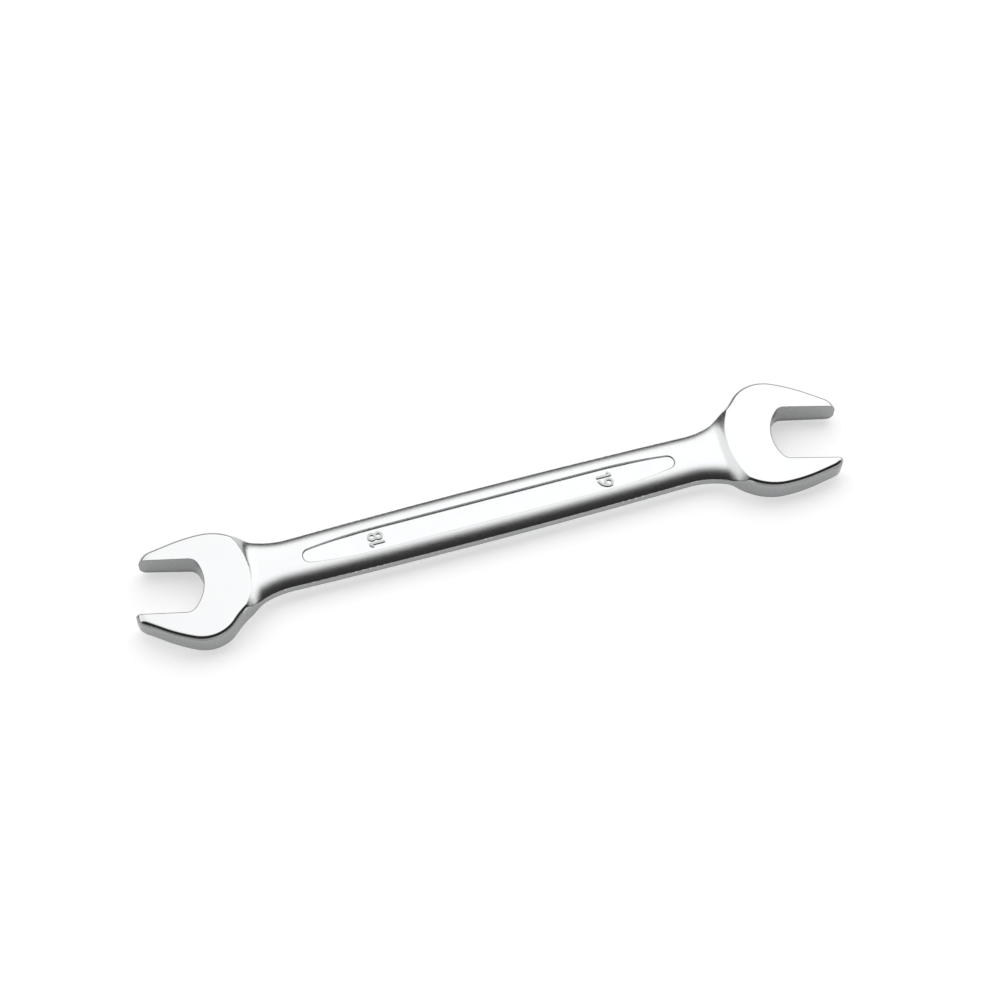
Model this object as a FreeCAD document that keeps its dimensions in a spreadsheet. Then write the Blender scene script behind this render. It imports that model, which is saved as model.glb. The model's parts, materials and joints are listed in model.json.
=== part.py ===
import FreeCAD, Part
import math
import os
import Sketcher

# Double open-end wrench, 18 x 19 mm, one drop forging, in millimetres.
#
# Frame: X runs along the shank from the 18 mm head (-X) to the 19 mm head (+X),
# Y lies across it and Z is up.  The origin is under the middle of the overall
# length, in the plane that the tool lies on.  The forging is drawn about the middle
# of its shank and its own middle plane, and each zone is then set down there.
# Each head has a frame of its own: its origin is the centre of the gripped nut and
# its x axis points out of the jaw.

App = FreeCAD
doc = FreeCAD.newDocument("OpenEndWrench")

# ---------------------------------------------------------------- driving sizes
SIZES = [
    # nuts and jaws
    ("nut_18", 18.0, "across flats of the smaller nut"),
    ("nut_19", 19.0, "across flats of the larger nut"),
    ("jaw_clearance", 0.15, "jaw opening over the nut size"),
    ("seat_clearance", 0.3, "nut corner to the bottom of the throat"),
    ("jaw_angle", 15.0, "angle of each jaw to the shank, degrees"),
    ("throat_corner_radius", 3.2, "radius between a jaw flat and the throat"),
    ("throat_bottom_radius", 14.0, "radius of the bottom of the throat"),
    # where the nut centres lie
    ("centre_18_x", 100.0, "middle of the shank to the 18 mm nut centre"),
    ("centre_18_y", 1.6, "sideways offset of the 18 mm nut centre"),
    ("centre_19_x", 102.5, "middle of the shank to the 19 mm nut centre"),
    ("centre_19_y", 2.6, "sideways offset of the 19 mm nut centre"),
    # 18 mm head
    ("head_width_18", 37.2, "widest part of the head"),
    ("long_back_18", 10.9, "nut centre back to the widest part, on the long side"),
    ("short_back_18", 12.0, "the same on the short side"),
    ("tip_reach_18", 7.4, "nut centre forward to the jaw tips"),
    ("long_shoulder_18", 10.8, "radius at the widest part, on the long side"),
    ("short_shoulder_18", 16.0, "the same on the short side"),
    ("cheek_radius_18", 50.0, "radius of the outer side of a jaw"),
    ("tip_radius_18", 3.0, "radius at a jaw tip"),
    ("face_radius_18", 24.2, "nut centre to the back edge of the face"),
    ("head_thick_18", 8.2, "thickness at the back edge of the face"),
    # 19 mm head
    ("head_width_19", 39.4, "widest part of the head"),
    ("long_back_19", 11.5, "nut centre back to the widest part, on the long side"),
    ("short_back_19", 11.8, "the same on the short side"),
    ("tip_reach_19", 8.9, "nut centre forward to the jaw tips"),
    ("long_shoulder_19", 12.2, "radius at the widest part, on the long side"),
    ("short_shoulder_19", 17.0, "the same on the short side"),
    ("cheek_radius_19", 52.0, "radius of the outer side of a jaw"),
    ("tip_radius_19", 3.2, "radius at a jaw tip"),
    ("face_radius_19", 25.6, "nut centre to the back edge of the face"),
    ("head_thick_19", 8.5, "thickness at the back edge of the face"),
    # both heads
    ("tip_land", 0.8, "flat end of a jaw tip, beside the jaw flat"),
    ("nose_radius", 4.2, "radius of the ball that rounds the end of a jaw"),
    ("nose_bulge", 1.7, "how far the ball stands out past the flat end"),
    ("face_taper", 1.2, "slope of each face towards the jaw tips, degrees"),
    ("face_ramp", 40.0, "slope from a face down to the shank, degrees"),
    ("edge_round", 0.9, "round along the outer edges of the heads"),
    # shank
    ("shank_width", 18.5, "width at the middle"),
    ("shank_narrowing", 0.65, "how far each side draws in from the middle to a waist"),
    ("waist_x", 58.0, "middle of the shank to each waist"),
    ("shank_inset", 16.0, "nut centre to the end of the shank inside the head"),
    ("crown_thick", 5.8, "thickness on the centre line"),
    ("crown_radius", 22.0, "radius of the crowned faces"),
    ("band_thick", 2.2, "height of the flat side band"),
    ("neck_radius", 26.0, "plan radius between the shank and a head"),
    # recessed panels
    ("panel_length", 118.6, "length of a panel"),
    ("panel_width", 7.8, "width of a panel"),
    ("panel_straight", 72.0, "length of its parallel part"),
    ("panel_side_radius", 140.0, "radius of the sides towards the ends"),
    ("web_thick", 3.9, "thickness between the two panel floors"),
    ("web_end_thick", 5.1, "the same at the ends, where the floors rise"),
    ("web_flat", 88.0, "length of the level part of a floor"),
    # raised size marks
    ("mark_x", 36.6, "middle of the shank to the middle of a mark"),
    ("glyph_height", 4.8, "height of a digit"),
    ("glyph_stroke", 0.75, "stroke of a digit"),
    ("glyph_gap", 0.6, "space between two digits"),
    ("glyph_relief", 0.35, "height of a digit above the panel floor"),
    ("one_width", 1.7, "width of the digit 1"),
    ("flag_stroke", 0.68, "stroke of the flag of the digit 1"),
    ("flag_angle", 40.0, "slope of the flag of the digit 1, degrees"),
    ("nine_radius", 1.5, "outer radius of the bowl of the digit 9"),
    ("nine_sweep", 80.0, "turn of the tail of the digit 9, degrees"),
    # where the forging is divided into zones
    ("zone_margin", 10.7, "end of a panel to the end of the shank zone"),
]

sheet = doc.addObject("Spreadsheet::Sheet", "Sizes")
for row, (alias, value, meaning) in enumerate(SIZES, start=1):
    sheet.set(f"A{row}", meaning)
    sheet.set(f"B{row}", str(value))
    sheet.setAlias(f"B{row}", alias)
doc.recompute()


def size(alias):
    """The number in a cell of the sheet."""
    return float(sheet.get(alias))


def bind(obj, **expressions):
    """Tie properties to the sheet; __ in a name stands for a dot."""
    for prop, text in expressions.items():
        obj.setExpression(prop.replace("__", "."), text.replace("$", "Sizes."))
    return obj


def primitive(kind, name, **expressions):
    return bind(doc.addObject(kind, name), **expressions)


def boolean(kind, name, base, tool):
    obj = doc.addObject(kind, name)
    obj.Base = base
    obj.Tool = tool
    return obj


def fuse(name, *shapes):
    obj = doc.addObject("Part::MultiFuse", name)
    obj.Shapes = list(shapes)
    return obj


def turned(axis, angle):
    return App.Placement(App.Vector(), App.Rotation(axis, angle))


def turning():
    """A turn about Z whose angle an expression then sets."""
    return turned(App.Vector(0, 0, 1), 1)


X_AXIS = App.Vector(1, 0, 0)
Y_AXIS = App.Vector(0, 1, 0)
Z_AXIS = App.Vector(0, 0, 1)
NEARLY_ONE = 1 - 1e-3

# numbers by which a sketch knows its origin, its two axes and the points of a curve
ORIGIN = (-1, 1)
H_AXIS, V_AXIS = -1, -2
START, END, CENTRE = range(1, 4)


# ---------------------------------------------------------------- sketch helpers
def plane_of(body, role):
    return next(f for f in body.Origin.OriginFeatures if f.Role == role)


def new_sketch(body, name):
    sketch = body.newObject("Sketcher::SketchObject", name)
    sketch.AttachmentSupport = (plane_of(body, "XY_Plane"), [""])
    sketch.MapMode = "FlatFace"
    return sketch


def line(sketch, x1, y1, x2, y2):
    return sketch.addGeometry(Part.LineSegment(App.Vector(x1, y1, 0), App.Vector(x2, y2, 0)))


def arc(sketch, x, y, radius, start, end):
    circle = Part.Circle(App.Vector(x, y, 0), Z_AXIS, radius)
    return sketch.addGeometry(Part.ArcOfCircle(circle, math.radians(start), math.radians(end)))


def tie(sketch, kind, *where):
    return sketch.addConstraint(Sketcher.Constraint(kind, *where))


def measure(sketch, kind, name, text, *where):
    """A named dimension, tied to an expression on the sheet."""
    index = tie(sketch, kind, *where)
    sketch.renameConstraint(index, name)
    bind(sketch, **{f"Constraints__{name}": text})


# ---------------------------------------------------------------- plan of a head
def cheek_circle(shoulder_x, shoulder_y, shoulder, tip_x, tip_y, tip, cheek):
    """Circle that the shoulder and tip circles touch from inside, and where they do."""
    span = math.hypot(tip_x - shoulder_x, tip_y - shoulder_y)
    along = ((cheek - shoulder) ** 2 - (cheek - tip) ** 2 + span ** 2) / (2 * span)
    across = math.sqrt((cheek - shoulder) ** 2 - along ** 2)
    unit_x = (tip_x - shoulder_x) / span
    unit_y = (tip_y - shoulder_y) / span
    cheek_x = shoulder_x + along * unit_x + across * unit_y
    cheek_y = shoulder_y + along * unit_y - across * unit_x
    lean_rear = math.degrees(math.atan2(shoulder_x - cheek_x, shoulder_y - cheek_y))
    lean_tip = math.degrees(math.atan2(tip_x - cheek_x, tip_y - cheek_y))
    return cheek_x, cheek_y, lean_rear, lean_tip


def head_outline(sketch, nut):
    """Outer outline: on each side a shoulder, a cheek and a jaw tip, then the front line.

    The long side, towards y, is the one that the slant of the jaw draws away from the
    shank.  The rear line lies inside the shank.
    """
    half_jaw = (size(f"nut_{nut}") + size("jaw_clearance")) / 2
    cheek = size(f"cheek_radius_{nut}")
    tip = size(f"tip_radius_{nut}")
    front_x = size(f"tip_reach_{nut}")
    tip_x = front_x - tip
    tip_y = half_jaw + size("tip_land")
    side = {}
    for name in ("long", "short"):
        shoulder = size(f"{name}_shoulder_{nut}")
        shoulder_x = -size(f"{name}_back_{nut}")
        shoulder_y = size(f"head_width_{nut}") / 2 - shoulder
        rear_turn = math.degrees(math.asin(shoulder_y / 2 / shoulder))
        leans = cheek_circle(shoulder_x, shoulder_y, shoulder, tip_x, tip_y, tip, cheek)
        side[name] = (shoulder, shoulder_x, shoulder_y, rear_turn, *leans)

    shoulder, shoulder_x, shoulder_y, rear_turn, cheek_x, cheek_y, lean_rear, lean_tip = side["short"]
    low_shoulder = arc(sketch, shoulder_x, -shoulder_y, shoulder, 180 - rear_turn, 270 + lean_rear)
    low_cheek = arc(sketch, cheek_x, -cheek_y, cheek, 270 + lean_rear, 270 + lean_tip)
    low_tip = arc(sketch, tip_x, -tip_y, tip, 270 + lean_tip, 360)
    front = line(sketch, front_x, -tip_y, front_x, tip_y)
    shoulder, shoulder_x, shoulder_y, rear_turn, cheek_x, cheek_y, lean_rear, lean_tip = side["long"]
    high_tip = arc(sketch, tip_x, tip_y, tip, 0, 90 - lean_tip)
    high_cheek = arc(sketch, cheek_x, cheek_y, cheek, 90 - lean_tip, 90 - lean_rear)
    high_shoulder = arc(sketch, shoulder_x, shoulder_y, shoulder, 90 - lean_rear, 180 + rear_turn)
    from_arc = sketch.Geometry[high_shoulder].EndPoint
    to_arc = sketch.Geometry[low_shoulder].StartPoint
    rear = line(sketch, from_arc.x, from_arc.y, to_arc.x, to_arc.y)

    chain = [low_shoulder, low_cheek, low_tip, front, high_tip, high_cheek, high_shoulder]
    for here, after in zip(chain, chain[1:]):
        tie(sketch, "Tangent", here, END, after, START)
    tie(sketch, "Coincident", high_shoulder, END, rear, START)
    tie(sketch, "Coincident", rear, END, low_shoulder, START)
    tie(sketch, "Equal", low_cheek, high_cheek)
    tie(sketch, "Equal", low_tip, high_tip)
    tie(sketch, "Symmetric", low_tip, CENTRE, high_tip, CENTRE, H_AXIS)
    measure(sketch, "Radius", "cheek", f"$cheek_radius_{nut}", high_cheek, cheek)
    measure(sketch, "Radius", "tip", f"$tip_radius_{nut}", high_tip, tip)
    measure(sketch, "DistanceX", "reach", f"$tip_reach_{nut} - $tip_radius_{nut}",
            *ORIGIN, high_tip, CENTRE, tip_x)
    measure(sketch, "DistanceY", "land", f"($nut_{nut} + $jaw_clearance) / 2 + $tip_land",
            *ORIGIN, high_tip, CENTRE, tip_y)
    for name, shoulder_arc, rear_end in (("long", high_shoulder, END), ("short", low_shoulder, START)):
        shoulder, shoulder_x, shoulder_y = side[name][:3]
        rise = f"($head_width_{nut} / 2 - ${name}_shoulder_{nut})"
        centre = (*ORIGIN, shoulder_arc, CENTRE)
        rear_point = (*ORIGIN, shoulder_arc, rear_end)
        if name == "short":
            centre = (shoulder_arc, CENTRE, *ORIGIN)
            rear_point = (shoulder_arc, rear_end, *ORIGIN)
        measure(sketch, "Radius", f"{name}_shoulder", f"${name}_shoulder_{nut}", shoulder_arc, shoulder)
        measure(sketch, "DistanceX", f"{name}_back", f"${name}_back_{nut}",
                shoulder_arc, CENTRE, *ORIGIN, -shoulder_x)
        measure(sketch, "DistanceY", f"{name}_rise", rise, *centre, shoulder_y)
        measure(sketch, "DistanceY", f"{name}_rear", f"{rise} / 2", *rear_point, shoulder_y / 2)


def jaw_outline(sketch, nut):
    """Jaw opening: two parallel flats, two corner arcs and the arc of the throat."""
    jaw = size(f"nut_{nut}") + size("jaw_clearance")
    corner = size("throat_corner_radius")
    bottom = size("throat_bottom_radius")
    seat = size(f"nut_{nut}") / math.sqrt(3) + size("seat_clearance")
    mouth_x = 2 * size(f"tip_reach_{nut}")
    bottom_x = bottom - seat
    corner_y = jaw / 2 - corner
    corner_x = bottom_x - math.sqrt((bottom - corner) ** 2 - corner_y ** 2)
    lean = math.degrees(math.asin(corner_y / (bottom - corner)))

    low_flat = line(sketch, corner_x, -jaw / 2, mouth_x, -jaw / 2)
    mouth = line(sketch, mouth_x, -jaw / 2, mouth_x, jaw / 2)
    high_flat = line(sketch, mouth_x, jaw / 2, corner_x, jaw / 2)
    high_corner = arc(sketch, corner_x, corner_y, corner, 90, 180 - lean)
    throat = arc(sketch, bottom_x, 0, bottom, 180 - lean, 180 + lean)
    low_corner = arc(sketch, corner_x, -corner_y, corner, 180 + lean, 270)

    tie(sketch, "Coincident", low_flat, END, mouth, START)
    tie(sketch, "Coincident", mouth, END, high_flat, START)
    for here, after in ((high_flat, high_corner), (high_corner, throat),
                        (throat, low_corner), (low_corner, low_flat)):
        tie(sketch, "Tangent", here, END, after, START)
    tie(sketch, "Horizontal", low_flat)
    tie(sketch, "Horizontal", high_flat)
    tie(sketch, "Symmetric", mouth, START, mouth, END, H_AXIS)
    tie(sketch, "PointOnObject", throat, CENTRE, H_AXIS)
    tie(sketch, "Equal", low_corner, high_corner)
    measure(sketch, "Radius", "corner", "$throat_corner_radius", high_corner, corner)
    measure(sketch, "Radius", "bottom", "$throat_bottom_radius", throat, bottom)
    measure(sketch, "DistanceY", "jaw", f"$nut_{nut} + $jaw_clearance", mouth, START, mouth, END, jaw)
    measure(sketch, "DistanceX", "mouth", f"2 * $tip_reach_{nut}", *ORIGIN, mouth, START, mouth_x)
    measure(sketch, "DistanceX", "seat",
            f"$throat_bottom_radius - $nut_{nut} / sqrt(3) - $seat_clearance",
            *ORIGIN, throat, CENTRE, bottom_x)


def shank_outline(sketch):
    """Slightly barrelled bar that runs into both heads."""
    narrowing = size("shank_narrowing")
    radius = (size("waist_x") ** 2 + narrowing ** 2) / (2 * narrowing)
    centre_y = radius - size("shank_width") / 2
    left = size("centre_18_x") - size("shank_inset")
    right = size("centre_19_x") - size("shank_inset")
    turn_left = math.degrees(math.asin(left / radius))
    turn_right = math.degrees(math.asin(right / radius))
    left_y = math.sqrt(radius ** 2 - left ** 2) - centre_y
    right_y = math.sqrt(radius ** 2 - right ** 2) - centre_y

    high = arc(sketch, 0, -centre_y, radius, 90 - turn_right, 90 + turn_left)
    end_18 = line(sketch, -left, left_y, -left, -left_y)
    low = arc(sketch, 0, centre_y, radius, 270 - turn_left, 270 + turn_right)
    end_19 = line(sketch, right, -right_y, right, right_y)

    loop = [high, end_18, low, end_19]
    for here, after in zip(loop, loop[1:] + loop[:1]):
        tie(sketch, "Coincident", here, END, after, START)
    tie(sketch, "Vertical", end_18)
    tie(sketch, "Vertical", end_19)
    tie(sketch, "Equal", high, low)
    tie(sketch, "PointOnObject", high, CENTRE, V_AXIS)
    tie(sketch, "Symmetric", high, CENTRE, low, CENTRE, H_AXIS)
    radius_text = "(($waist_x ^ 2 + $shank_narrowing ^ 2) / (2 * $shank_narrowing))"
    measure(sketch, "Radius", "side", radius_text, high, radius)
    measure(sketch, "DistanceY", "width", f"{radius_text} - $shank_width / 2",
            high, CENTRE, *ORIGIN, centre_y)
    measure(sketch, "DistanceX", "to_18", "$centre_18_x - $shank_inset",
            end_18, START, *ORIGIN, left)
    measure(sketch, "DistanceX", "to_19", "$centre_19_x - $shank_inset",
            *ORIGIN, end_19, START, right)


# ---------------------------------------------------------------- plan of the forging
plan = doc.addObject("PartDesign::Body", "plan")


def jaw_turn(nut):
    """Direction in which a jaw opens, from X."""
    return "180 - $jaw_angle" if nut == 18 else "-$jaw_angle"


def to_head(obj, nut, prop="Placement", twist=""):
    """Move an object that is drawn in the frame of a head to where the head is."""
    side = -1 if nut == 18 else 1
    setattr(obj, prop, turning())
    return bind(obj, **{f"{prop}__Base__x": f"{side} * $centre_{nut}_x",
                        f"{prop}__Base__y": f"{-side} * $centre_{nut}_y",
                        f"{prop}__Rotation__Angle": jaw_turn(nut) + twist})


def feature(kind, name, sketch):
    """A pad or pocket of the plan, equally far up and down."""
    made = plan.newObject(kind, name)
    made.Profile = sketch
    made.Midplane = True
    bind(made, Length="2 * max($head_thick_18; $head_thick_19)")
    return made


shank_sketch = new_sketch(plan, "shank_sketch")
shank_outline(shank_sketch)
feature("PartDesign::Pad", "shank_pad", shank_sketch)
for nut in (18, 19):
    head_sketch = new_sketch(plan, f"head_sketch_{nut}")
    head_outline(head_sketch, nut)
    to_head(head_sketch, nut, "AttachmentOffset")
    feature("PartDesign::Pad", f"head_pad_{nut}", head_sketch)
doc.recompute()


def neck_edges(shape):
    """Upright edges where the sides of the shank run into the heads."""
    names = []
    reach = min(size("centre_18_x") - size("shank_inset"), size("centre_19_x") - size("shank_inset"))
    for number, edge in enumerate(shape.Edges, start=1):
        upright = abs(edge.tangentAt(edge.FirstParameter).z) > NEARLY_ONE
        if upright and abs(edge.CenterOfMass.x) < reach:
            names.append(f"Edge{number}")
    return names


joined = plan.Tip
necks = plan.newObject("PartDesign::Fillet", "necks")
necks.Base = (joined, neck_edges(joined.Shape))
bind(necks, Radius="$neck_radius")
doc.recompute()

for nut in (18, 19):
    jaw_sketch = new_sketch(plan, f"jaw_sketch_{nut}")
    jaw_outline(jaw_sketch, nut)
    to_head(jaw_sketch, nut, "AttachmentOffset")
    feature("PartDesign::Pocket", f"jaw_{nut}", jaw_sketch)
doc.recompute()


# ---------------------------------------------------------------- thickness of the forging
def face_wedge(nut):
    """All that lies between the two faces of a head, which close in towards the jaw tips."""
    half = f"($head_thick_{nut} / 2)"
    taper = "tan($face_taper)"
    room = f"(2 * $face_radius_{nut})"
    rear = f"({half} + $face_radius_{nut} * {taper})"
    front = f"({half} - 3 * $face_radius_{nut} * {taper})"
    wedge = primitive("Part::Wedge", f"wedge_{nut}",
                      Xmin=f"-{room}", Xmax=room, X2min=f"-{room}", X2max=room,
                      Ymin=f"-{room}", Ymax=room, Zmin=f"-{rear}", Zmax=rear,
                      Z2min=f"-{front}", Z2max=front)
    return to_head(wedge, nut, twist=" - 90")


def middle_of(edge):
    return edge.valueAt((edge.FirstParameter + edge.LastParameter) / 2)


def steepness(face, point):
    """0 for an upright wall, 1 for a level face."""
    return abs(face.normalAt(*face.Surface.parameter(point)).z)


def outer_edges(shape, nut, head_frame):
    """Edges between a face of a head and its outer wall, not those of the jaw."""
    names = []
    half_jaw = (size(f"nut_{nut}") + size("jaw_clearance")) / 2
    for number, edge in enumerate(shape.Edges, start=1):
        point = middle_of(edge)
        local = head_frame.inverse().multVec(point)
        on_head = local.Length < size(f"face_radius_{nut}")
        beside = [steepness(face, point) for face in shape.ancestorsOfType(edge, Part.Face)]
        face_to_wall = max(beside) > NEARLY_ONE and min(beside) < 1 - NEARLY_ONE
        if on_head and face_to_wall and abs(local.y) * NEARLY_ONE > half_jaw:
            names.append(f"Edge{number}")
    return names


def ramps(nut):
    """Two cones back to back; they stand higher than the head, so that they cut only its ramps."""
    face = f"$face_radius_{nut}"
    half = f"($head_thick_{nut} / 2)"
    spare = f"({half} / 2)"
    cones = []
    for name, axis_turn in (("upper", 0), ("lower", 180)):
        cone = primitive("Part::Cone", f"{name}_cone_{nut}",
                         Radius1=f"{face} + {half} / tan($face_ramp)",
                         Radius2=f"{face} - {spare} / tan($face_ramp)", Height=f"{half} + {spare}")
        cone.Placement = turned(X_AXIS, axis_turn)
        cones.append(cone)
    return to_head(fuse(f"ramps_{nut}", *cones), nut)


def head_block(nut, wedge):
    """The plan between the faces of a head, its outer edges rounded, cut by the ramps."""
    slab = boolean("Part::Common", f"slab_{nut}", wedge, plan)
    rounded = doc.addObject("PartDesign::Body", f"rounded_{nut}")
    rounded.BaseFeature = slab
    slopes = ramps(nut)
    doc.recompute()
    sharp = rounded.Tip
    rounds = rounded.newObject("PartDesign::Fillet", f"rounds_{nut}")
    rounds.Base = (sharp, outer_edges(sharp.Shape, nut, slopes.Placement))
    bind(rounds, Radius="$edge_round")
    return boolean("Part::Common", f"head_block_{nut}", slopes, rounded)


def noses(nut, wedge):
    """Balls that round the ends of the two jaws, between the faces and clear of the nut."""
    half_jaw = f"(($nut_{nut} + $jaw_clearance) / 2)"
    balls = []
    for name, way in (("long", 1), ("short", -1)):
        balls.append(primitive("Part::Sphere", f"{name}_ball_{nut}", Radius="$nose_radius",
                               Placement__Base__x=f"$tip_reach_{nut} + $nose_bulge - $nose_radius",
                               Placement__Base__y=f"{way} * {half_jaw}"))
    gap = primitive("Part::Box", f"nose_gap_{nut}", Length="4 * $nose_radius",
                    Width=f"2 * {half_jaw}", Height="2 * $nose_radius",
                    Placement__Base__y=f"-{half_jaw}", Placement__Base__z="-$nose_radius")
    outside = boolean("Part::Cut", f"ball_ends_{nut}", fuse(f"balls_{nut}", *balls), gap)
    return boolean("Part::Common", f"noses_{nut}", to_head(outside, nut), wedge)


def crown():
    """Lens-shaped bar: the part common to two long cylinders, one above the other."""
    cylinders = []
    for name, side in (("upper", -1), ("lower", 1)):
        cylinder = primitive("Part::Cylinder", f"{name}_crown", Radius="$crown_radius",
                             Height="$centre_18_x + $centre_19_x - 2 * $shank_inset")
        cylinder.Placement = turned(Y_AXIS, 90)
        bind(cylinder, Placement__Base__x="-($centre_18_x - $shank_inset)",
             Placement__Base__z=f"{side} * ($crown_radius - $crown_thick / 2)")
        cylinders.append(cylinder)
    return boolean("Part::Common", "crown", *cylinders)


def centred_box(name, length, width, height):
    """A box about the origin."""
    return primitive("Part::Box", name, Length=length, Width=width, Height=height,
                     Placement__Base__x=f"-({length}) / 2", Placement__Base__y=f"-({width}) / 2",
                     Placement__Base__z=f"-({height}) / 2")


overall = "2 * ($centre_19_x + $face_radius_19)"
breadth = "2 * $head_width_19"
band = centred_box("band", overall, breadth, "$band_thick")
wedges = {nut: face_wedge(nut) for nut in (18, 19)}
bar = boolean("Part::Common", "bar", fuse("bar_section", band, crown()), plan)
heads = [head_block(nut, wedge) for nut, wedge in wedges.items()]
ends = [noses(nut, wedge) for nut, wedge in wedges.items()]
blank = fuse("blank", bar, *heads, *ends)


# ---------------------------------------------------------------- recessed panels
def panel_plan():
    """Prism of the cigar-shaped panel outline, through the whole forging."""
    body = doc.addObject("PartDesign::Body", "panel_plan")
    sketch = new_sketch(body, "panel_sketch")
    half_length = size("panel_length") / 2
    half_straight = size("panel_straight") / 2
    half_width = size("panel_width") / 2
    side = size("panel_side_radius")
    taper = half_length - half_straight
    tip = (2 * side * half_width - half_width ** 2 - taper ** 2) / (2 * (side - taper))
    tip_x = half_length - tip
    side_y = half_width - side
    lean = math.degrees(math.atan2(tip_x - half_straight, -side_y))

    top = line(sketch, half_straight, half_width, -half_straight, half_width)
    side_a = arc(sketch, -half_straight, side_y, side, 90, 90 + lean)
    tip_18 = arc(sketch, -tip_x, 0, tip, 90 + lean, 270 - lean)
    side_b = arc(sketch, -half_straight, -side_y, side, 270 - lean, 270)
    bottom = line(sketch, -half_straight, -half_width, half_straight, -half_width)
    side_c = arc(sketch, half_straight, -side_y, side, 270, 270 + lean)
    tip_19 = arc(sketch, tip_x, 0, tip, 270 + lean, 450 - lean)
    side_d = arc(sketch, half_straight, side_y, side, 90 - lean, 90)

    loop = [top, side_a, tip_18, side_b, bottom, side_c, tip_19, side_d]
    for here, after in zip(loop, loop[1:] + loop[:1]):
        tie(sketch, "Tangent", here, END, after, START)
    for other in (side_b, side_c, side_d):
        tie(sketch, "Equal", side_a, other)
    tie(sketch, "Equal", tip_18, tip_19)
    tie(sketch, "Symmetric", top, START, top, END, V_AXIS)
    tie(sketch, "Symmetric", bottom, START, bottom, END, V_AXIS)
    tie(sketch, "Symmetric", top, START, bottom, END, H_AXIS)
    measure(sketch, "Radius", "side", "$panel_side_radius", side_a, side)
    measure(sketch, "DistanceX", "straight", "$panel_straight", top, END, top, START, 2 * half_straight)
    measure(sketch, "DistanceY", "width", "$panel_width", bottom, END, top, START, 2 * half_width)
    taper_text = "(($panel_length - $panel_straight) / 2)"
    tip_text = (f"(($panel_side_radius * $panel_width - ($panel_width / 2) ^ 2 - {taper_text} ^ 2)"
                f" / (2 * ($panel_side_radius - {taper_text})))")
    measure(sketch, "DistanceX", "tip", f"$panel_length / 2 - {tip_text}",
            *ORIGIN, tip_19, CENTRE, tip_x)
    pad = body.newObject("PartDesign::Pad", "panel_pad")
    pad.Profile = sketch
    pad.Midplane = True
    bind(pad, Length="2 * $crown_thick")
    return body


def web():
    """What stays between the two panels: level in the middle, thicker at the ends."""
    level = centred_box("web_level", "$web_flat", "2 * $panel_width", "$web_thick")
    ramps = []
    for nut, turn in ((18, 90), (19, -90)):
        side = -1 if nut == 18 else 1
        half = "($web_thick / 2)"
        end_half = "($web_end_thick / 2)"
        ramp = primitive("Part::Wedge", f"web_ramp_{nut}",
                         Xmin="-$panel_width", Xmax="$panel_width",
                         X2min="-$panel_width", X2max="$panel_width",
                         Ymin="0", Ymax="($panel_length - $web_flat) / 2",
                         Zmin=f"-{half}", Zmax=half, Z2min=f"-{end_half}", Z2max=end_half)
        ramp.Placement = turned(Z_AXIS, turn)
        ramps.append(bind(ramp, Placement__Base__x=f"{side} * $web_flat / 2"))
    return fuse("web", level, *ramps)


panels = boolean("Part::Cut", "panels", panel_plan(), web())
forging = boolean("Part::Cut", "forging", blank, panels)


# ---------------------------------------------------------------- zones of the forging
def reach(nut):
    """Middle of the shank to the outermost point of a head, on the ball of a jaw end."""
    return (f"($centre_{nut}_x + $nose_radius"
            f" + cos($jaw_angle) * ($tip_reach_{nut} + $nose_bulge - $nose_radius)"
            f" + sin($jaw_angle) * ($nut_{nut} + $jaw_clearance) / 2)")


SET_BACK = f"(({reach(19)} - {reach(18)}) / 2)"
RAISE = "(max($head_thick_18; $head_thick_19) / 2)"


def zone(name, left, right):
    """The stretch of the forging between two places along X."""
    box = primitive("Part::Box", f"{name}_zone", Length=f"({right}) - ({left})", Width=breadth,
                    Height="2 * max($head_thick_18; $head_thick_19)",
                    Placement__Base__x=left, Placement__Base__y=f"-({breadth}) / 2",
                    Placement__Base__z="-max($head_thick_18; $head_thick_19)")
    return bind(boolean("Part::Common", name, forging, box),
                Placement__Base__x=f"-{SET_BACK}", Placement__Base__z=RAISE)


far_18 = "-($centre_18_x + $face_radius_18)"
far_19 = "$centre_19_x + $face_radius_19"
split = "($panel_length / 2 + $zone_margin)"
nodes = [zone("head_18", far_18, f"-{split}"),
         zone("shank", f"-{split}", split),
         zone("head_19", split, far_19)]


# ---------------------------------------------------------------- raised size marks
# A digit is drawn about its own middle, reading along x with its top towards y.
EIGHT_RADIUS = "(($glyph_height + $glyph_stroke) / 4)"


def ring(name, radius, y):
    outer = primitive("Part::Cylinder", f"{name}_outer", Radius=radius, Height="$glyph_relief",
                      Placement__Base__y=y)
    inner = primitive("Part::Cylinder", f"{name}_inner", Radius=f"({radius}) - $glyph_stroke",
                      Height="$glyph_relief", Placement__Base__y=y)
    return boolean("Part::Cut", name, outer, inner)


def digit_one(name):
    stem = primitive("Part::Box", f"{name}_stem", Length="$glyph_stroke", Width="$glyph_height",
                     Height="$glyph_relief",
                     Placement__Base__x="$one_width / 2 - $glyph_stroke",
                     Placement__Base__y="-$glyph_height / 2")
    flag = primitive("Part::Box", f"{name}_flag", Height="$glyph_relief",
                     Length="($one_width - $glyph_stroke) / cos($flag_angle)",
                     Width="$flag_stroke")
    flag.Placement = turning()
    bind(flag, Placement__Rotation__Angle="180 + $flag_angle",
         Placement__Base__x="$one_width / 2 - $flag_stroke",
         Placement__Base__y="$glyph_height / 2")
    return fuse(name, stem, flag)


def digit_eight(name):
    lift = "($glyph_height - $glyph_stroke) / 4"
    return fuse(name, ring(f"{name}_lower", EIGHT_RADIUS, f"-{lift}"),
                ring(f"{name}_upper", EIGHT_RADIUS, lift))


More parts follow.
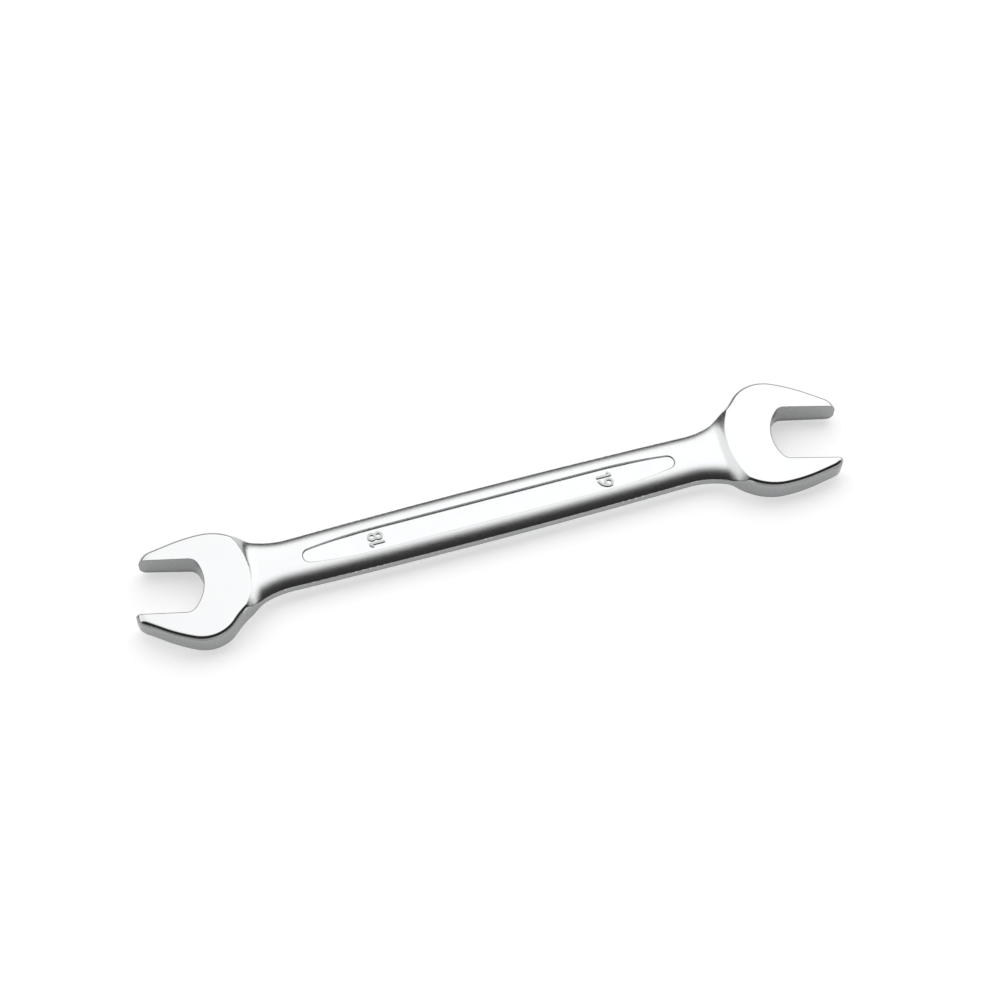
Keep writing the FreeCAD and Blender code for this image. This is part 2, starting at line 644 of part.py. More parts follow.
def digit_nine(name):
    """A bowl, and a tail on a larger circle that touches the right of the bowl."""
    bowl_y = "($glyph_height / 2 - $nine_radius)"
    tail_radius = "($glyph_height - $nine_radius)"
    bowl = ring(f"{name}_bowl", "$nine_radius", bowl_y)
    sectors = []
    for part, radius in (("outer", tail_radius), ("inner", f"({tail_radius} - $glyph_stroke)")):
        sector = primitive("Part::Cylinder", f"{name}_tail_{part}", Radius=radius,
                           Height="$glyph_relief", Angle="$nine_sweep")
        sector.Placement = turning()
        sectors.append(bind(sector, Placement__Rotation__Angle="-$nine_sweep",
                            Placement__Base__x=f"$nine_radius - {tail_radius}",
                            Placement__Base__y=bowl_y))
    return fuse(name, bowl, boolean("Part::Cut", f"{name}_tail", *sectors))


def seat(digit, nut, along):
    """Stand a digit on the panel floor; its top points to the head that it names."""
    side = -1 if nut == 18 else 1
    digit.Placement = turned(Z_AXIS, -90 * side)
    return bind(digit, Placement__Base__x=f"{side} * $mark_x - {SET_BACK}",
                Placement__Base__y=f"{-side} * ({along})",
                Placement__Base__z=f"$web_thick / 2 + {RAISE}")


for nut, draw, word, radius in ((18, digit_eight, "eight", EIGHT_RADIUS),
                                (19, digit_nine, "nine", "$nine_radius")):
    width = f"($one_width + $glyph_gap + 2 * {radius})"
    nodes.append(seat(digit_one(f"mark_{nut}_one"), nut, f"($one_width - {width}) / 2"))
    nodes.append(seat(draw(f"mark_{nut}_{word}"), nut, f"{width} / 2 - {radius}"))

# ---------------------------------------------------------------- checks and export
doc.recompute()
for obj in doc.Objects:
    if "Invalid" in obj.State or "Error" in obj.State:
        raise RuntimeError(f"{obj.Name} failed: {obj.State}")
os.makedirs("parts", exist_ok=True)
for node in nodes:
    shape = node.Shape
    if shape.isNull() or not shape.isValid() or len(shape.Solids) != 1:
        raise RuntimeError(f"{node.Label} is not one valid solid")
    shape.exportStep(f"parts/{node.Label}.step")
    print(f"{node.Label}: {shape.Volume:.1f} mm3")
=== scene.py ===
import json
import math

import bpy
import numpy as np
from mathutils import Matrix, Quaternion, Vector
from mathutils.geometry import delaunay_2d_cdt


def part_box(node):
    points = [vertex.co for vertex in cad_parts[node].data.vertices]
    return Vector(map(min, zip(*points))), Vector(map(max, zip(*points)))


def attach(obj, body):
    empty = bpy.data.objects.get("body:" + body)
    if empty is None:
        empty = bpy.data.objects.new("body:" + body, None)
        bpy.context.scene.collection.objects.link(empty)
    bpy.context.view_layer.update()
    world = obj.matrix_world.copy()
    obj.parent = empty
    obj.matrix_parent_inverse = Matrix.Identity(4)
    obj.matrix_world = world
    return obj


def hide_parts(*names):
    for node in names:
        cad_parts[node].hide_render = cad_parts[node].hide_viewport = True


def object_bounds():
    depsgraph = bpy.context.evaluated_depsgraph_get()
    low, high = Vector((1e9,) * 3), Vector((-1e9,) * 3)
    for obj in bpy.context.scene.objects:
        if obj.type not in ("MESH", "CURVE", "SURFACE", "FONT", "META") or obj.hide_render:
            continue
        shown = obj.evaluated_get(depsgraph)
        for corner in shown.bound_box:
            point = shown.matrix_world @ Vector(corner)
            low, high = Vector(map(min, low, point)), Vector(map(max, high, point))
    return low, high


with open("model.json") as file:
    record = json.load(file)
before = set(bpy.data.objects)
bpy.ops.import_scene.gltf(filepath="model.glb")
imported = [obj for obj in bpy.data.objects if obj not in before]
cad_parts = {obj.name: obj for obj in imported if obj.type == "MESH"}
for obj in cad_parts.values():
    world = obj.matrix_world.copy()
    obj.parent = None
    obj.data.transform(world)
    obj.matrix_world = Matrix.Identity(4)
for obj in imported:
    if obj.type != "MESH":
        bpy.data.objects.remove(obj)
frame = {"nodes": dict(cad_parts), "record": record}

CAD_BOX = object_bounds()
MM = 0.001

# The camera looks down on the wrench from its near side, with a long lens.
CAMERA_AZIMUTH = math.radians(-21.26)
CAMERA_ELEVATION = math.radians(57.24)
CAMERA_ROLL = math.radians(3.545)
CAMERA_DISTANCE = 654.7 * MM
CAMERA_LENS = 77.08
AIM_ASIDE = Vector((1.9, 3.53, 0)) * MM

# The studio: one broad soft light above and behind, darkness on the camera's side and low all round.
LIGHT_LEVEL = 1.62
DARK_LEVEL = 0.03
FRONT_SHARE = 0.7
FLOOR_COLOUR = (0.74, 0.742, 0.745, 1)
FLOOR_GLOW = 0.5
FLOOR_NEAR = 0.25
FLOOR_HALF = 8.0

# Chrome, duller on the trimmed sides and the stamped rims, whose darker colours are painted shade, darker
# still at the foot of the walls as painted shade; the digits are bright on top, with painted shade down
# their sides.
CHROME = (0.63, 0.635, 0.64, 1)
SIDE_PAINTED_SHADE = (0.35, 0.353, 0.357, 1)
FOOT_PAINTED_SHADE = 0.6
PATCH_SHARE = 0.96
RIM_PAINTED_SHADE = (0.14, 0.141, 0.143, 1)
MARK_TOP = (0.42, 0.423, 0.427, 1)
MARK_SIDE_PAINTED_SHADE = (0.04, 0.04, 0.042, 1)


# ------------------------------------------------- the forging, in mm until its mesh is made
NUTS = (18, 19)
FORGED = ("head_18", "shank", "head_19")
PANEL_MIDDLE = -2.04
JAW_CLEARANCE = 0.15
FACE_RADIUS = {18: 24.2, 19: 25.6}
FACE_HALF = {18: 4.1, 19: 4.25}
TIP_REACH = {18: 9.1, 19: 10.6}
TIP_RUN = 7.0
TIP_EDGE = 2.2
TIP_PASSES = 40
THROAT_REACH = 15.0
CUT_ABOVE = 0.03
FACE_TAPER = math.tan(math.radians(1.2))
FACE_RAMP = math.tan(math.radians(40))
FACE_EDGE = 1.7
RIM_BLEND = 0.1
NECK_BLEND = 1.0
CROWN_HALF = 2.9
ROLL_RADIUS = 16.5
ROLL_WIDTH = 7.5
CREASE_EDGE = 0.45
PANEL_HALF_LENGTH = 59.3
PANEL_HALF_STRAIGHT = 36.0
PANEL_HALF_WIDTH = 3.9
PANEL_SIDE_RADIUS = 140.0
PANEL_WALL = 0.14
PANEL_EDGE = 0.35
# Widths of the bands painted dark as painted shade: the panel rim, the outer edges, and the outer edges of
# the heads.
RIM_SHADE_BAND = 0.15
SIDE_SHADE_BAND = 0.22
HEAD_SHADE_BAND = 0.62
PANEL_RINGS = (0.07, 0.16, 0.26, 0.36, 0.6)
WEB_FLAT = 44.0
WEB_HALF = 1.95
WEB_END_HALF = 2.55
RING_DEPTHS = (0.04, 0.12, 0.24, 0.42, 0.65, 0.95, 1.3, 1.7, 2.1)
JAW_RING = 0.2
RIM_STEPS = (-0.2, 0.0, 0.14, 0.3, 0.6, 0.9, 1.2, 1.6, 2.0, 2.5, 3.1, 3.8)
SPACING = 0.8

# How finely the surface is divided, and how near counts as the same place.
SHORTEST_STEP = 0.01
SEAM_SLACK = 0.05
FREE_SLACK = 0.05
JAW_SLACK = 0.03
RING_SLACK = 0.1
JAW_RING_SLACK = 0.3
EDGE_CLEAR = 0.03
RIM_ARC = 0.5
FINE_HALF = (90, 20)
FINE_STEP = (1.1, 0.7)
FINE_SHEAR = 0.03
COARSE_HALF = (116, 22)
COARSE_STEP = 2.5
COARSE_FROM = 84
PANEL_SIDE_STEPS = 30
PANEL_TIP_STEPS = 14
PANEL_CLEAR_OUT = 0.8
PANEL_CLEAR_IN = 0.25
FOOT_SLACK = 0.01
PANEL_NEAR = 1.0
PANEL_FAR = 9.0
AT_ONCE = 1500
SLOPE_STEP = 0.015
WALL_TILT = 0.05
CORNER_TURN = math.radians(20)
POLISH_SPILL = 0.07
MERGE_WITHIN = 1e-6

# The finishes of the forging, in the order of its material slots; the side and rim slots are darker chrome,
# painted shade.
POLISHED, SATIN, SIDE_SHADE_SLOT, RIM_SHADE_SLOT = range(4)


def head_frame(nut):
    """Middle of a jaw, and the directions along its opening and across it, from the record's mounts."""
    for mount in frame["record"]["mounts"]:
        if mount["name"] == f"jaw_{nut}":
            out = np.array(mount["axis"][:2])
            return np.array(mount["pos_m"][:2]) / MM, out, np.array((-out[1], out[0]))
    raise KeyError(nut)


def in_head(points, nut):
    """Where points lie along and across the opening of a jaw."""
    middle, out, across = head_frame(nut)
    away = points - middle
    return away @ out, away @ across


def cad_cuts():
    """Where the CAD meshes cross the level half way up, as pairs of points."""
    level = (middle_height() + CUT_ABOVE) * MM
    low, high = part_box("shank")
    cuts = []
    for name in FORGED:
        mesh = frame["nodes"][name].data
        mesh.calc_loop_triangles()
        for triangle in mesh.loop_triangles:
            corners = [mesh.vertices[i].co for i in triangle.vertices]
            ends = []
            for a, b in zip(corners, corners[1:] + corners[:1]):
                if (a.z - level) * (b.z - level) < 0:
                    ends.append(a.lerp(b, (level - a.z) / (b.z - a.z)).xy / MM)
            if len(ends) == 2 and not on_seam(ends, (low.x / MM, high.x / MM)):
                cuts.append(ends)
    return np.array([[tuple(a), tuple(b)] for a, b in cuts])


def on_seam(ends, seams):
    """True where both ends lie where two CAD zones of the forging meet."""
    return any(abs(ends[0].x - x) < SEAM_SLACK and abs(ends[1].x - x) < SEAM_SLACK for x in seams)


def middle_height():
    return (CAD_BOX[0].z + CAD_BOX[1].z) / 2 / MM


def chained(cuts):
    """The cuts put end to end as one closed loop, the outside on its right."""
    left = list(range(1, len(cuts)))
    loop = [cuts[0][0], cuts[0][1]]
    while left:
        ends = cuts[left]
        gaps = np.linalg.norm(ends - loop[-1], axis=2)
        best, near = np.unravel_index(np.argmin(gaps), gaps.shape)
        loop.append(ends[best][1 - near])
        left.pop(best)
    loop = np.array(loop[:-1])
    turn = np.sum(loop[:, 0] * np.roll(loop[:, 1], -1) - loop[:, 1] * np.roll(loop[:, 0], -1))
    return loop if turn > 0 else loop[::-1]


def eased(loop):
    """The loop with its outside near each jaw tip eased into one smooth curve."""
    free = np.zeros(len(loop), bool)
    for nut in NUTS:
        along, across = in_head(loop, nut)
        outside = abs(across) > (nut + JAW_CLEARANCE) / 2 + FREE_SLACK
        free |= (along > TIP_REACH[nut] - TIP_RUN) & outside
    for _ in range(TIP_PASSES):
        between = (np.roll(loop, 1, axis=0) + np.roll(loop, -1, axis=0)) / 2
        loop = np.where(free[:, None], between, loop)
    return loop


def divided(loop):
    """The loop without its tiny steps, and with its long ones divided."""
    points = []
    for here, after in zip(loop, np.roll(loop, -1, axis=0)):
        step = np.linalg.norm(after - here)
        if step < SHORTEST_STEP:
            continue
        parts = max(1, math.ceil(step / SPACING))
        points += [here + (after - here) * k / parts for k in range(parts)]
    return np.array(points)


class Outline:
    """The loop round the forging: distances to it, and which parts of it are jaw sides."""

    def __init__(self, loop):
        self.a = loop
        self.b = np.roll(loop, -1, axis=0)
        step = self.b - self.a
        self.length = np.linalg.norm(step, axis=1)
        self.out = np.stack((step[:, 1], -step[:, 0]), axis=1) / self.length[:, None]
        self.point_out = self.out + np.roll(self.out, 1, axis=0)
        self.point_out /= np.linalg.norm(self.point_out, axis=1)[:, None]
        middle = (self.a + self.b) / 2
        self.jaw = np.zeros(len(loop), bool)
        for nut in NUTS:
            along, across = in_head(middle, nut)
            half = (nut + JAW_CLEARANCE) / 2
            self.jaw |= (abs(across) < half + JAW_SLACK) & (along > -THROAT_REACH)

    def from_panel(self, points):
        """Distance from each point to the panel, told only where it is short."""
        rim = panel_loop()
        away = np.full(len(points), PANEL_FAR)
        close = np.flatnonzero(inside(points, panel_loop(-PANEL_NEAR)))
        for start in range(0, len(close), AT_ONCE):
            some = close[start:start + AT_ONCE]
            away[some] = np.linalg.norm(points[some][:, None, :] - rim[None], axis=2).min(axis=1)
        return away

    def nearest(self, points, kept=slice(None)):
        """Distance from each point to the kept parts of the loop, or to all of it."""
        a, b = self.a[kept], self.b[kept]
        step = b - a
        far = np.empty(len(points))
        for start in range(0, len(points), AT_ONCE):
            some = points[start:start + AT_ONCE]
            away = some[:, None, :] - a[None]
            share = np.clip(np.einsum("ijk,jk->ij", away, step) / np.sum(step ** 2, axis=1), 0, 1)
            gap = np.linalg.norm(away - share[..., None] * step[None], axis=2)
            far[start:start + AT_ONCE] = gap.min(axis=1)
        return far


def edge_drop(depth, radius):
    """How far a rounded edge has dropped at a distance in from the wall."""
    left = np.clip(radius - depth, 0, radius)
    return radius - np.sqrt(radius ** 2 - left ** 2)


def blend_low(a, b, width):
    """The lower of two heights, rounded where they meet."""
    return np.minimum(a, b) - np.clip(width - abs(a - b), 0, None) ** 2 / (4 * width)


def blend_high(a, b, width):
    """The higher of two heights, rounded where they meet."""
    return np.maximum(a, b) + np.clip(width - abs(a - b), 0, None) ** 2 / (4 * width)


def head_height(points, nut, depth):
    """Half the thickness of a head: its face, rounder towards the tips, and the ramp round it."""
    along, across = in_head(points, nut)
    face = FACE_HALF[nut] - (along + FACE_RADIUS[nut]) * FACE_TAPER
    near_tip = np.clip((along - TIP_REACH[nut] + TIP_RUN) / TIP_RUN, 0, 1)
    radius = FACE_EDGE + (TIP_EDGE - FACE_EDGE) * near_tip ** 2 * (3 - 2 * near_tip)
    rounded = face - edge_drop(depth, radius)
    ramp = FACE_HALF[nut] - (np.hypot(along, across) - FACE_RADIUS[nut]) * FACE_RAMP
    return blend_low(rounded, ramp, RIM_BLEND)


def height(points, outline):
    """Half the thickness of the forging, without its panels."""
    depth = outline.nearest(points, ~outline.jaw)
    roll = np.clip(ROLL_WIDTH - depth, 0, None)
    crown = CROWN_HALF - (ROLL_RADIUS - np.sqrt(ROLL_RADIUS ** 2 - roll ** 2))
    crown = crown - edge_drop(depth, CREASE_EDGE)
    nut = np.where(points[:, 0] < 0, 18, 19)
    head = np.where(nut == 18, head_height(points, 18, depth), head_height(points, 19, depth))
    return blend_high(head, crown, NECK_BLEND) - edge_drop(outline.from_panel(points), PANEL_EDGE)


def panel_loop(inset=0.0):
    """The cigar-shaped outline of the panel about its own middle."""
    width = PANEL_HALF_WIDTH - inset
    side = PANEL_SIDE_RADIUS - inset
    taper = PANEL_HALF_LENGTH - PANEL_HALF_STRAIGHT
    full = PANEL_HALF_WIDTH
    tip = (2 * PANEL_SIDE_RADIUS * full - full ** 2 - taper ** 2) / (2 * (PANEL_SIDE_RADIUS - taper))
    tip_x = PANEL_HALF_LENGTH - tip
    lean = math.atan2(tip_x - PANEL_HALF_STRAIGHT, PANEL_SIDE_RADIUS - full)
    quarter = [(x, width) for x in np.arange(0, PANEL_HALF_STRAIGHT, SPACING)]
    for turn in np.linspace(0, lean, PANEL_SIDE_STEPS):
        x = PANEL_HALF_STRAIGHT + side * math.sin(turn)
        quarter.append((x, full - PANEL_SIDE_RADIUS + side * math.cos(turn)))
    for turn in np.linspace(lean, math.pi / 2, PANEL_TIP_STEPS)[1:]:
        quarter.append((tip_x + (tip - inset) * math.sin(turn), (tip - inset) * math.cos(turn)))
    right_top = quarter[::-1]
    left_top = [(-x, y) for x, y in quarter[1:]]
    left_bottom = [(-x, -y) for x, y in quarter[::-1][1:]]
    right_bottom = [(x, -y) for x, y in quarter[1:-1]]
    middle = np.array((PANEL_MIDDLE, 0.0))
    return np.array(right_top + left_top + left_bottom + right_bottom) + middle


def inside(points, loop):
    """Which points a closed loop holds."""
    held = np.zeros(len(points), bool)
    for (ax, ay), (bx, by) in zip(loop, np.roll(loop, -1, axis=0)):
        if ay == by:
            continue
        crosses = (ay > points[:, 1]) != (by > points[:, 1])
        held ^= crosses & (points[:, 0] < (bx - ax) * (points[:, 1] - ay) / (by - ay) + ax)
    return held


def floor_height(points):
    """Half the thickness of the web: level in the middle, rising towards the ends of the panel."""
    beyond = np.clip(abs(points[:, 0] - PANEL_MIDDLE) - WEB_FLAT, 0, None)
    return WEB_HALF + beyond * (WEB_END_HALF - WEB_HALF) / (PANEL_HALF_LENGTH - WEB_FLAT)


def grid(half, step):
    """Points in rows and columns, as far out as half on each side."""
    columns, rows = (np.arange(-reach, reach, gap) for reach, gap in zip(half, step))
    return np.stack(np.meshgrid(columns, rows), axis=2).reshape(-1, 2)


def wall_rings(outline):
    """Rings of points beside the walls: many along the outer ones, one along the jaws."""
    rings = []
    for depth in RING_DEPTHS:
        ring = (outline.a - outline.point_out * depth)[~outline.jaw]
        rings.append(ring[abs(outline.nearest(ring) - depth) < RING_SLACK * depth])
    ring = (outline.a - outline.point_out * JAW_RING)[outline.jaw]
    rings.append(ring[abs(outline.nearest(ring) - JAW_RING) < JAW_RING_SLACK * JAW_RING])
    return rings


def face_rings():
    """Rings of points about each jaw, where its face ends in a ramp."""
    rings = []
    for nut in NUTS:
        middle = head_frame(nut)[0]
        for step in RIM_STEPS:
            radius = FACE_RADIUS[nut] + step
            turns = np.arange(0, 2 * math.pi, RIM_ARC / radius)
            rings.append(middle + radius * np.stack((np.cos(turns), np.sin(turns)), axis=1))
    return rings


def inner_points(outline):
    """Points inside the outline: rings beside its edges, rings at the rims, and rows between."""
    fine = grid(FINE_HALF, FINE_STEP)
    fine[:, 0] += FINE_SHEAR * fine[:, 1]
    coarse = grid(COARSE_HALF, (COARSE_STEP, COARSE_STEP))
    coarse = coarse[abs(coarse[:, 0]) > COARSE_FROM]
    points = np.concatenate(wall_rings(outline) + face_rings() + [fine, coarse])
    points = points[inside(points, outline.a)]
    return points[outline.nearest(points) > EDGE_CLEAR]


def surface_normals(points, outline):
    """Upward normals of the upper surface, from its slope."""
    along = np.array((SLOPE_STEP, 0.0))
    across = np.array((0.0, SLOPE_STEP))
    slope_x = (height(points + along, outline) - height(points - along, outline)) / (2 * SLOPE_STEP)
    slope_y = (height(points + across, outline) - height(points - across, outline)) / (2 * SLOPE_STEP)
    normals = np.stack((-slope_x, -slope_y, np.ones(len(points))), axis=1)
    return normals / np.linalg.norm(normals, axis=1)[:, None]


def triangulated(outline):
    """The plan in triangles: its points, its faces, and which points are those of the outline."""
    rim = panel_loop()
    foot = panel_loop(PANEL_WALL)
    others = inner_points(outline)
    beside = inside(others, panel_loop(-PANEL_CLEAR_OUT))
    beside &= ~inside(others, panel_loop(PANEL_WALL + PANEL_CLEAR_IN))
    others = np.concatenate([others[~beside]] + [panel_loop(-step) for step in PANEL_RINGS])
    points = np.concatenate((outline.a, rim, foot, others))
    count, turn = len(outline.a), len(rim)
    loops = [range(count), range(count, count + turn), range(count + turn, count + 2 * turn)]
    edges = [(a, b) for loop in loops for a, b in zip(loop, list(loop[1:]) + [loop[0]])]
    made = delaunay_2d_cdt([Vector(p) for p in points], edges, [list(loops[0])], 1, MERGE_WITHIN)
    home = {source: number for number, sources in enumerate(made[3]) for source in sources}
    flat = np.array([tuple(v) for v in made[0]])
    return flat, [tuple(face) for face in made[2]], [home[i] for i in range(count)]


def point_normals(flat, ring, outline):
    """Normals of the upper surface, which at the outline lean out to meet the wall."""
    normal = surface_normals(flat, outline)
    at_jaw = outline.jaw | np.roll(outline.jaw, 1)
    for i, number in enumerate(ring):
        if at_jaw[i]:
            normal[number] = (0.0, 0.0, 1.0)
        else:
            leaning = np.array((*outline.point_out[i], WALL_TILT))
            normal[number] = leaning / np.linalg.norm(leaning)
    return normal


def finishes_and_shade_bands(centres, outline):
    """Which finish each face of the upper surface has, with bands of painted shade along the outer edges,
    the jaw sides and the panel rim.
    """
    polished = np.zeros(len(centres), bool)
    for nut in NUTS:
        polished |= np.hypot(*in_head(centres, nut)) < FACE_RADIUS[nut] + POLISH_SPILL
    kind = np.where(polished, POLISHED, SATIN)
    # The bands along the outer edges are painted dark as painted shade, wider round the polished heads.
    shade_band = np.where(polished, HEAD_SHADE_BAND, SIDE_SHADE_BAND)
    kind[outline.nearest(centres, ~outline.jaw) < shade_band] = SIDE_SHADE_SLOT
    # A thin line along the polished jaw sides is painted dark as painted shade.
    kind[polished & (outline.nearest(centres, outline.jaw) < JAW_RING)] = RIM_SHADE_SLOT
    # The panel's rim and wall, and a thin line outside it, are painted dark as painted shade.
    by_rim = inside(centres, panel_loop()) | (outline.from_panel(centres) < RIM_SHADE_BAND)
    kind[by_rim & ~inside(centres, panel_loop(PANEL_WALL))] = RIM_SHADE_SLOT
    return kind


def skins(top, faces, normal, kind, hard):
    """The upper surface and its mirror below: faces, corner normals, and each face's finish, painted shade
    included.
    """
    polys, normals, finish = [], [], []
    for number, face in enumerate(faces):
        a, b, c = (Vector(top[i]) for i in face)
        level = (b - a).cross(c - a).normalized()
        if level.z < 0:
            face = face[::-1]
            level = -level
        rows = [level] * 3 if hard[number] else [Vector(normal[i]) for i in face]
        polys += [face, tuple(i + len(top) for i in face[::-1])]
        normals += rows + [Vector((r.x, r.y, -r.z)) for r in rows[::-1]]
        finish += [kind[number]] * 2
    return polys, normals, finish


def walls(ring, total, outline):
    """Upright faces all round, smooth but for the corners of the outline."""
    before = np.roll(outline.out, 1, axis=0)
    corner = np.einsum("ij,ij->i", outline.out, before) < math.cos(CORNER_TURN)
    polys, normals = [], []
    for i, here in enumerate(ring):
        j = (i + 1) % len(ring)
        after = ring[j]
        polys.append((here + total, after + total, after, here))
        first, second = (outline.out[i] if corner[k] else outline.point_out[k] for k in (i, j))
        one, two = Vector((*first, 0)), Vector((*second, 0))
        normals += [one, two, two, one]
    # Every wall takes the side colour, darker chrome that is painted shade.
    return polys, normals, [SIDE_SHADE_SLOT] * len(polys)


def forged_mesh():
    """The whole forging: a height over every point of its plan, mirrored below, with walls between."""
    outline = Outline(eased(divided(chained(cad_cuts()))))
    flat, faces, ring = triangulated(outline)
    in_foot = inside(flat, panel_loop(PANEL_WALL - FOOT_SLACK))
    high = np.where(in_foot, floor_height(flat), height(flat, outline))
    middle = middle_height()
    top = [(x, y, middle + h) for (x, y), h in zip(flat, high)]
    bottom = [(x, y, middle - h) for (x, y), h in zip(flat, high)]
    centres = np.array([flat[list(face)].mean(axis=0) for face in faces])
    normal = point_normals(flat, ring, outline)
    skin = skins(top, faces, normal, finishes_and_shade_bands(centres, outline), inside(centres, panel_loop()))
    polys, normals, finish = (a + b for a, b in zip(skin, walls(ring, len(flat), outline)))
    mesh = bpy.data.meshes.new("forging")
    mesh.from_pydata([Vector(p) * MM for p in top + bottom], [], polys)
    mesh.polygons.foreach_set("use_smooth", [True] * len(polys))
    mesh.polygons.foreach_set("material_index", finish)
    mesh.normals_split_custom_set(normals)
    mesh.update()
    return mesh


class Nodes:
    """A node tree that is filled by short calls."""

    def __init__(self, tree):
        self.tree = tree
        tree.nodes.clear()

    def add(self, kind, inputs=None, **settings):
        node = self.tree.nodes.new(kind)
        for name, value in settings.items():
            setattr(node, name, value)
        for key, value in (inputs or {}).items():
            self.feed(node.inputs[key], value)
        return node

    def feed(self, socket, value):
        if isinstance(value, bpy.types.NodeSocket):
            self.tree.links.new(value, socket)
        else:
            socket.default_value = value

    def math(self, operation, a, b=0.0, clamp=False):
        return self.add("ShaderNodeMath", {0: a, 1: b}, operation=operation, use_clamp=clamp).outputs[0]

    def smooth(self, value, low, high, start=0.0, end=1.0):
        """Goes smoothly from start to end as the value goes from low to high."""
        node = self.add(
            "ShaderNodeMapRange",
            {"Value": value, "From Min": low, "From Max": high, "To Min": start, "To Max": end},
            interpolation_type="SMOOTHSTEP",
        )
        return node.outputs["Result"]

    def noise(self, place, scale, detail=3.0, roughness=0.5):
        inputs = {"Vector": place, "Scale": scale, "Detail": detail, "Roughness": roughness}
        return self.add("ShaderNodeTexNoise", inputs).outputs["Fac"]

    def stretched(self, place, scale):
        return self.add("ShaderNodeMapping", {"Vector": place, "Scale": scale}).outputs["Vector"]


def light_the_world():
    world = bpy.data.worlds.new("studio")
    bpy.context.scene.world = world
    world.use_nodes = True
    t = Nodes(world.node_tree)
    direction = t.add("ShaderNodeTexCoord").outputs["Generated"]
    axes = t.add("ShaderNodeSeparateXYZ", {0: direction}).outputs
    # The angle round the X axis: 0 at the far horizon, a quarter turn overhead, half a turn at the near one.
    round_x = t.math("ARCTAN2", axes["Z"], axes["Y"])
    far_edge = t.smooth(round_x, math.radians(12), math.radians(26))
    near_edge = t.smooth(round_x, math.radians(77), math.radians(95), 1.0, 0.0)
    left_fade = t.smooth(axes["X"], -0.3, 0.2, 0.8, 1.0)
    low = t.smooth(axes["Z"], 0.03, 0.16)
    front = t.math("MULTIPLY", t.smooth(round_x, math.radians(138), math.radians(150)), FRONT_SHARE)
    above = t.math("ADD", t.math("MULTIPLY", far_edge, near_edge), front)
    lit = t.math("MULTIPLY", t.math("MULTIPLY", above, low), left_fade)
    strength = t.math("ADD", t.math("MULTIPLY", lit, LIGHT_LEVEL - DARK_LEVEL), DARK_LEVEL)
    shade = t.add("ShaderNodeBackground", {"Color": (1, 1, 1, 1), "Strength": strength})
    t.add("ShaderNodeOutputWorld", {"Surface": shade.outputs[0]})


def make_camera():
    low, high = CAD_BOX
    middle = (low + high) / 2
    aim = middle + AIM_ASIDE
    flat = math.cos(CAMERA_ELEVATION)
    side = math.sin(CAMERA_AZIMUTH) * flat
    back = Vector((side, -math.cos(CAMERA_AZIMUTH) * flat, math.sin(CAMERA_ELEVATION)))
    data = bpy.data.cameras.new("camera")
    data.lens = CAMERA_LENS
    data.sensor_width = 36
    camera = bpy.data.objects.new("camera", data)
    bpy.context.scene.collection.objects.link(camera)
    camera.location = aim + back * CAMERA_DISTANCE
    camera.rotation_mode = "QUATERNION"
    camera.rotation_quaternion = (-back).to_track_quat("-Z", "Y") @ Quaternion((0, 0, 1), CAMERA_ROLL)
    data.clip_start = 0.01
    data.clip_end = 20
    bpy.context.scene.camera = camera


def material(name):
    made = bpy.data.materials.new(name)
    made.use_nodes = True
    return made, Nodes(made.node_tree)


def floor_material():
    made, t = material("floor")
    place = t.add("ShaderNodeTexCoord").outputs["Object"]
    grain = t.noise(place, 60.0, 4.0)
    bump = t.add("ShaderNodeBump", {"Height": grain, "Strength": 0.02, "Distance": 0.001})
    shader = t.add("ShaderNodeBsdfDiffuse", {"Color": FLOOR_COLOUR, "Normal": bump.outputs[0]})
    rays = t.add("ShaderNodeLightPath").outputs
    away = t.add("ShaderNodeVectorMath", {0: place}, operation="LENGTH").outputs["Value"]
    near = t.smooth(away, FLOOR_NEAR, 2 * FLOOR_NEAR, 1.0, 0.0)
    bent = t.math("MAXIMUM", rays["Is Glossy Ray"], rays["Is Transmission Ray"])
    mirrored = t.math("MULTIPLY", bent, near)
    seen = t.math("MAXIMUM", rays["Is Camera Ray"], mirrored)
    strength = t.math("MULTIPLY", seen, FLOOR_GLOW)
    glow = t.add("ShaderNodeEmission", {"Color": (1, 1, 1, 1), "Strength": strength})
    both = t.add("ShaderNodeAddShader", {0: shader.outputs[0], 1: glow.outputs[0]})
    t.add("ShaderNodeOutputMaterial", {"Surface": both.outputs[0]})
    return made


def make_floor():
    mesh = bpy.data.meshes.new("floor")
    h = FLOOR_HALF
    mesh.from_pydata([(-h, -h, 0), (h, -h, 0), (h, h, 0), (-h, h, 0)], [], [(0, 1, 2, 3)])
    floor = bpy.data.objects.new("floor", mesh)
    bpy.context.scene.collection.objects.link(floor)
    mesh.materials.append(floor_material())
    floor.location.z = CAD_BOX[0].z - 0.00002


def mixed(t, share, a, b):
    node = t.add("ShaderNodeMix", data_type="RGBA")
    t.feed(node.inputs[0], share)
    t.feed(node.inputs[6], a)
    t.feed(node.inputs[7], b)
    return node.outputs[2]


def darker(colour, share):
    return tuple(share * part for part in colour[:3]) + (1,)


def tinted(t, cloud, colour=CHROME):
    """A colour that is a little darker in broad soft patches."""
    return mixed(t, cloud, darker(colour, PATCH_SHARE), colour)


